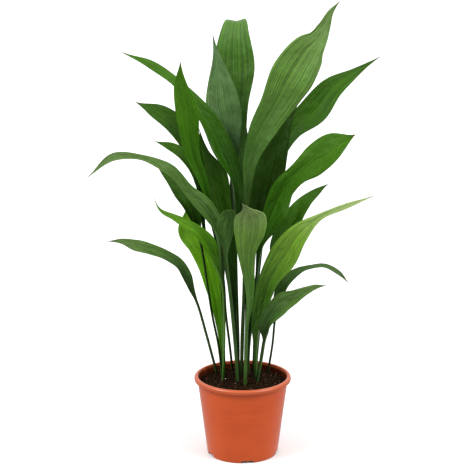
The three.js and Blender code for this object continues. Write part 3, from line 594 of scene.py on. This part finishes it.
def crumb_tree():
    """Geometry nodes that strew crumbs over a surface. Each crumb is a rough lump, sunk a little in."""
    tree = bpy.data.node_groups.new("crumbs_on_soil", "GeometryNodeTree")
    ends = tree.interface
    ends.new_socket("Geometry", in_out="INPUT", socket_type="NodeSocketGeometry")
    for name in ("Crumbs per square metre", "Smallest", "Largest", "Flatness"):
        ends.new_socket(name, in_out="INPUT", socket_type="NodeSocketFloat")
    ends.new_socket("Seed", in_out="INPUT", socket_type="NodeSocketInt")
    ends.new_socket("Material", in_out="INPUT", socket_type="NodeSocketMaterial")
    ends.new_socket("Geometry", in_out="OUTPUT", socket_type="NodeSocketGeometry")
    given = add(tree, "NodeGroupInput").outputs
    points = add(tree, "GeometryNodeDistributePointsOnFaces",
                 {"Mesh": given["Geometry"], "Density": given["Crumbs per square metre"],
                  "Seed": given["Seed"]}).outputs["Points"]
    ball = add(tree, "GeometryNodeMeshIcoSphere", {"Radius": 0.5, "Subdivisions": 2}).outputs["Mesh"]
    place = add(tree, "GeometryNodeInputPosition").outputs[0]
    rough = add(tree, "ShaderNodeTexNoise", {"Vector": place, "Scale": 2.6, "Detail": 2}).outputs[0]
    swell = add(tree, "ShaderNodeMapRange",
                {"Value": rough, "To Min": 0.3, "To Max": 1.7}).outputs[0]
    lumpy = add(tree, "ShaderNodeVectorMath", {0: place, "Scale": swell},
                operation="SCALE").outputs[0]
    crumb = add(tree, "GeometryNodeSetPosition", {"Geometry": ball, "Position": lumpy}).outputs[0]
    # Each crumb tilts up to half a radian and turns any way about the vertical
    turn = add(tree, "FunctionNodeRandomValue",
               {0: (-0.5, -0.5, 0), 1: (0.5, 0.5, 6.28), "Seed": given["Seed"]},
               data_type="FLOAT_VECTOR").outputs["Value"]
    size = add(tree, "FunctionNodeRandomValue",
               {2: given["Smallest"], 3: given["Largest"], "Seed": given["Seed"]},
               data_type="FLOAT").outputs[1]
    flat = add(tree, "ShaderNodeCombineXYZ", {0: 1.0, 1: 0.75, 2: given["Flatness"]}).outputs[0]
    scale = add(tree, "ShaderNodeVectorMath", {0: flat, "Scale": size},
                operation="SCALE").outputs[0]
    strewn = add(tree, "GeometryNodeInstanceOnPoints",
                 {"Points": points, "Instance": crumb, "Rotation": turn, "Scale": scale}).outputs[0]
    real = add(tree, "GeometryNodeRealizeInstances", {"Geometry": strewn}).outputs[0]
    done = add(tree, "GeometryNodeSetMaterial",
               {"Geometry": real, "Material": given["Material"]}).outputs[0]
    add(tree, "NodeGroupOutput", {"Geometry": done})
    return tree


def strew_crumbs(tree, name, inputs):
    """One kind of crumb over the soil's top, from the tree's named inputs."""
    radii = np.linspace(0, wall_radius(SOIL_EDGE_HEIGHT) - WALL - CRUMB_MARGIN, CRUMB_RINGS + 1)
    points = [(0, 0, soil_height(0, 0))]
    for radius in radii[1:]:
        for i in range(CRUMB_SIDES):
            turn = 2 * math.pi * i / CRUMB_SIDES
            x = radius * math.cos(turn)
            y = radius * math.sin(turn)
            points.append((x, y, soil_height(x, y)))
    faces = []
    for i in range(CRUMB_SIDES):
        j = (i + 1) % CRUMB_SIDES
        faces.append((0, 1 + i, 1 + j))
        for ring in range(CRUMB_RINGS - 1):
            low = 1 + ring * CRUMB_SIDES
            high = low + CRUMB_SIDES
            faces.append((low + i, high + i, high + j, low + j))
    piece = new_object(name, points, faces, [])
    modifier = piece.modifiers.new("crumbs", "NODES")
    modifier.node_group = tree
    for item in tree.interface.items_tree:
        if item.in_out == "INPUT" and item.name in inputs:
            modifier[item.identifier] = inputs[item.name]
    baked(piece)
    place_piece(piece, "potting_soil")


# Leaves
def eased(values, t):
    """Between evenly spaced values, eased from each to the next."""
    place = np.clip(t, 0, 1) * (len(values) - 1)
    step = np.minimum(place.astype(int), len(values) - 2)
    share = place - step
    share = share * share * (3 - 2 * share)
    values = np.array(values, float)
    return values[step] * (1 - share) + values[step + 1] * share


def smooth(values, t):
    """A smooth curve through evenly spaced values."""
    values = np.array(values, float)
    place = np.clip(t, 0, 1) * (len(values) - 1)
    step = np.minimum(place.astype(int), len(values) - 2)
    share = place - step
    start, end = values[step], values[step + 1]
    slope_in = (end - values[np.maximum(step - 1, 0)]) / 2
    slope_out = (values[np.minimum(step + 2, len(values) - 1)] - start) / 2
    rise = end - start
    return (start + slope_in * share + (3 * rise - 2 * slope_in - slope_out) * share ** 2
            + (slope_in + slope_out - 2 * rise) * share ** 3)


def midrib_points(path, steps=40):
    """A centripetal Catmull-Rom curve through the path, in short straight steps."""
    path = np.array(path, float)
    path = np.vstack([2 * path[0] - path[1], path, 2 * path[-1] - path[-2]])
    share = np.linspace(0, 1, steps, endpoint=False)[:, None]
    spans = []
    for before, start, end, after in zip(path, path[1:], path[2:], path[3:]):
        d0, d1, d2 = [math.sqrt(np.linalg.norm(b - a))
                      for a, b in ((before, start), (start, end), (end, after))]
        leave = ((start - before) / d0 - (end - before) / (d0 + d1) + (end - start) / d1) * d1
        arrive = ((end - start) / d1 - (after - start) / (d1 + d2) + (after - end) / d2) * d1
        rise = end - start
        spans.append(start + leave * share + (3 * rise - 2 * leave - arrive) * share ** 2
                     + (leave + arrive - 2 * rise) * share ** 3)
    return np.vstack([*spans, path[-2][None]])


def unit(vectors):
    """The vectors at length one."""
    return vectors / np.linalg.norm(vectors, axis=1)[:, None]


def leaf_frames(leaf):
    """Places down the leaf as centre, tangent, side and up, with t from 0 at the collar to 1 at the tip
    and below 0 on the stalk, and the distance from the soil."""
    curve = midrib_points(leaf["path"])
    lengths = np.concatenate([[0], np.cumsum(np.linalg.norm(np.diff(curve, axis=0), axis=1))])
    stalk, whole = lengths[40 * leaf["collar"]], lengths[-1]
    distance = np.concatenate([[-BURIED_DEPTH], np.linspace(0, stalk, STALK_STEPS),
                               np.linspace(stalk, whole, BLADE_STEPS + 1)[1:]])
    slopes = unit(np.gradient(curve, axis=0))
    held = np.clip(distance, 0, whole)
    centre = np.stack([np.interp(held, lengths, curve[:, k]) for k in range(3)], axis=1)
    tangent = unit(np.stack([np.interp(held, lengths, slopes[:, k]) for k in range(3)], axis=1))
    centre += tangent * np.minimum(distance, 0)[:, None]
    t = (distance - stalk) / (whole - stalk)

    heading = math.radians(leaf["heading"])
    side = np.array([math.sin(heading), -math.cos(heading), 0.0])
    side = unit(side - tangent * (tangent @ side)[:, None])
    roll = np.radians(eased(leaf["roll"], t))[:, None]
    side = side * np.cos(roll) + np.cross(tangent, side) * np.sin(roll)
    return centre, side, np.cross(side, tangent), t, distance


def half_width(leaf, t):
    """Half the leaf's width: the stalk's up to the collar, then a smooth curve through the widths."""
    blade = np.maximum(smooth([leaf["stalk"], *leaf["widths"], 1], t) / 2, 0.5)
    return np.where(t <= 0, leaf["stalk"] / 2, blade)


def leaf_colours(leaf, t, distance, across):
    """Each point's colour, from stalk to tip, with the painted shade and light that its tone holds,
    lighter along the midrib and at the margins.
    """
    tone, lightness = LEAF_TONES[leaf["name"]]
    stalk, lower, upper, tip = [lightness * np.array(linear(c)[:3]) for c in TONES[tone][:4]]
    places = [-0.25, 0.02, 0.3, 0.62, 0.97, 1.0]
    shades = [stalk, stalk, lower, upper, tip, np.array(linear(DRY_TIP)[:3])]
    along = np.stack([np.interp(t, places, [s[k] for s in shades]) for k in range(3)], axis=1)
    colours = np.repeat(along[:, None, :], len(across), axis=1)
    middle = np.exp(-(across / 0.05) ** 2)[None, :, None] * np.clip(1 - t, 0, 1)[:, None, None]
    margin = (np.abs(across) > 0.96)[None, :, None] * np.clip(t * 4, 0, 1)[:, None, None]
    # The lowest 4 cm of the stalk is darker, down to 0.4 of its colour at the soil
    foot_darkening = np.clip(0.4 + distance / 65, 0.4, 1)[:, None, None]
    return colours * (1 + 0.45 * middle + 0.2 * margin) * foot_darkening


def leaf_surfaces(leaf, centre, side, up, t, across):
    """Points of the upper and the lower face, in one row for each place down the leaf. The stalk is a
    thick channel that opens out into the blade's two thin, folded halves."""
    away = np.abs(across)
    stalk_share = np.where(t <= 0, 1, np.clip(1 - t / STALK_FADE, 0, 1) ** 2)
    fold = np.radians(eased(leaf["fold"], t) * (1 - stalk_share) + STALK_CHANNEL * stalk_share)
    half = half_width(leaf, t)
    out = (half * np.cos(fold))[:, None] * across[None]
    rise = (half * np.sin(fold))[:, None] * away[None]

    wave_height, wave_count = leaf["wave"]
    wave_size = np.where(t <= 0, 0, wave_height * np.minimum(1, half / FULL_WAVE_HALF_WIDTH))
    phase = (2 * math.pi * wave_count * t[:, None] + WAVE_OFFSET * (across > 0)[None]
             + math.radians(leaf["heading"]))
    rise += wave_size[:, None] * across[None] ** 2 * np.sin(phase)
    rise += (stalk_share * STALK_RISE * leaf["stalk"])[:, None]
    upper = centre[:, None] + side[:, None] * out[..., None] + up[:, None] * rise[..., None]

    # The blade thins towards its margins and its tip, and a keel runs along under its midrib
    left = np.clip(1 - t, 0, 1)[:, None]
    keel = KEEL_DEPTH * left ** 1.5 * np.maximum(0, 1 - 2 * away)[None]
    blade = EDGE_THICKNESS + 0.4 * (1 - away)[None] * left + keel
    stalk = leaf["stalk"] * STALK_DEPTH * np.sqrt(1 - 0.9 * across ** 2)[None]
    thick = blade * (1 - stalk_share[:, None]) + stalk * stalk_share[:, None]
    lower = upper - up[:, None] * (thick / np.cos(fold)[:, None])[..., None]
    return upper, lower


def paint_leaf(mesh, leaf, t, distance, across):
    """Gives the mesh what the leaf's material reads: each point's colour, which face it is on, the
    skin's gloss, and a map that counts leaf widths across and metres along."""
    count = len(across)
    colours = leaf_colours(leaf, t, distance, across)
    colours = np.concatenate([colours, colours[:, ::-1]], axis=1).reshape(-1, 3)
    tissue = mesh.color_attributes.new("tissue", "FLOAT_COLOR", "POINT")
    tissue.data.foreach_set("color", np.column_stack([colours, np.ones(len(colours))]).ravel())
    underside = mesh.attributes.new("underside", "FLOAT", "POINT")
    flags = np.tile(np.concatenate([np.zeros(count), np.ones(count)]), len(t))
    underside.data.foreach_set("value", flags)
    tone = LEAF_TONES[leaf["name"]][0]
    gloss = TONES[tone][4]
    sheen = mesh.attributes.new("sheen", "FLOAT", "POINT")
    sheen.data.foreach_set("value", np.full(len(colours), gloss))

    # Each leaf reads a stretch of the vein pattern of its own
    shift = sum(map(ord, leaf["name"])) % 17
    u = np.tile(np.concatenate([across, across[::-1]]) / 2 + 0.5 + shift, len(t))
    v = np.repeat(distance * MM, 2 * count)
    corners = np.zeros(len(mesh.loops), dtype=np.int64)
    mesh.loops.foreach_get("vertex_index", corners)
    uv = mesh.uv_layers.new(name="blade")
    uv.data.foreach_set("uv", np.column_stack([u[corners], v[corners]]).ravel())


def make_leaf(leaf, material):
    """One leaf, from its foot in the soil to its tip, closed at both ends."""
    centre, side, up, t, distance = leaf_frames(leaf)
    across = np.linspace(-1, 1, CELLS_ACROSS + 1)
    upper, lower = leaf_surfaces(leaf, centre, side, up, t, across)
    points = np.concatenate([upper, lower[:, ::-1]], axis=1).reshape(-1, 3)
    ring = 2 * len(across)
    faces = []
    for row in range(len(t) - 1):
        first = row * ring
        following = first + ring
        for i in range(ring):
            j = (i + 1) % ring
            faces.append((first + i, first + j, following + j, following + i))
    faces.append(tuple(reversed(range(ring))))
    faces.append(tuple(range(len(points) - ring, len(points))))
    piece = new_object(leaf["name"].replace("leaf_", "frond_"), points, faces, [material])
    paint_leaf(piece.data, leaf, t, distance, across)
    place_piece(piece, "leaf_tissue", leaf["name"])


# Stage
def make_camera():
    """The camera, with a reach that takes in the floor's horizon."""
    data = bpy.data.cameras.new("camera")
    data.lens = CAMERA_LENS
    data.clip_end = 200
    camera = bpy.data.objects.new("camera", data)
    bpy.context.scene.collection.objects.link(camera)
    camera.location = Vector(CAMERA_PLACE) * MM
    camera.rotation_euler = (math.radians(90 - CAMERA_PITCH), 0, 0)
    bpy.context.scene.camera = camera


def make_sun(name, compass, strength):
    """A wide soft source high over the plant, at a compass angle."""
    data = bpy.data.lights.new(name, "SUN")
    data.angle = math.radians(SUN_WIDTH)
    data.energy = strength
    light = bpy.data.objects.new(name, data)
    bpy.context.scene.collection.objects.link(light)
    light.rotation_euler = (0, math.radians(90 - SUN_HEIGHT), math.radians(compass))


def make_stage():
    """A white floor that runs out of view, a white surround that is brighter overhead, and two wide
    soft lights."""
    material, tree, output = new_material("matt_white_paper")
    shader = add(tree, "ShaderNodeBsdfPrincipled",
                 {"Base Color": linear("#E4E4E4"), "Roughness": 0.9})
    tree.links.new(shader.outputs[0], output.inputs["Surface"])
    corners = [(FLOOR_REACH * x, FLOOR_REACH * y, 0) for x, y in ((-1, -1), (1, -1), (1, 1), (-1, 1))]
    # The floor takes light and shadow but throws no light back on the plant
    floor = new_object("floor", corners, [(0, 1, 2, 3)], [material])
    floor.visible_glossy = False
    floor.visible_diffuse = False

    world = bpy.data.worlds.new("pale_surround")
    world.use_nodes = True
    tree = world.node_tree
    direction = add(tree, "ShaderNodeTexCoord").outputs["Generated"]
    height = add(tree, "ShaderNodeSeparateXYZ", {0: direction}).outputs["Z"]
    strength = add(tree, "ShaderNodeMapRange",
                   {"Value": height, "From Min": -0.2, "From Max": 1.0,
                    "To Min": BELOW, "To Max": OVERHEAD}).outputs[0]
    tree.nodes["Background"].inputs["Color"].default_value = (1, 1, 1, 1)
    tree.links.new(strength, tree.nodes["Background"].inputs["Strength"])
    bpy.context.scene.world = world
    make_sun("left_light", LEFT_COMPASS, LEFT_LIGHT)
    make_sun("right_light", RIGHT_COMPASS, RIGHT_LIGHT)
    bpy.context.scene.view_settings.view_transform = "Standard"


make_camera()
make_stage()

# Terracotta outside; inside, soil stain and painted shade
make_pot(polypropylene("terracotta_polypropylene", "#BE4604", "#C24906", "#C64D0A", 0.6, 0.3),
         polypropylene("soil_stain_and_painted_shade_polypropylene", "#3A1608", "#54200C", "#702C12", 0.2, 0.0))
peat = crumb_material("moist_peat", "#050301", "#2C1A0A", 0.9)
make_soil(peat)
crumbs = crumb_tree()
strew_crumbs(crumbs, "peat_crumbs",
             {"Crumbs per square metre": 70000.0, "Smallest": 0.0012, "Largest": 0.0055,
              "Flatness": 0.8, "Seed": 3, "Material": peat})
bark = crumb_material("composted_bark", "#1E0F07", "#704A30", 0.85)
strew_crumbs(crumbs, "bark_chips",
             {"Crumbs per square metre": 9000.0, "Smallest": 0.002, "Largest": 0.006,
              "Flatness": 0.35, "Seed": 8, "Material": bark})
perlite = crumb_material("perlite", "#B9B2A6", "#E6E0D6", 0.7)
strew_crumbs(crumbs, "perlite_grains",
             {"Crumbs per square metre": 300.0, "Smallest": 0.0014, "Largest": 0.003,
              "Flatness": 0.9, "Seed": 5, "Material": perlite})

tissue = leaf_tissue()
for leaf in LEAVES:
    make_leaf(leaf, tissue)
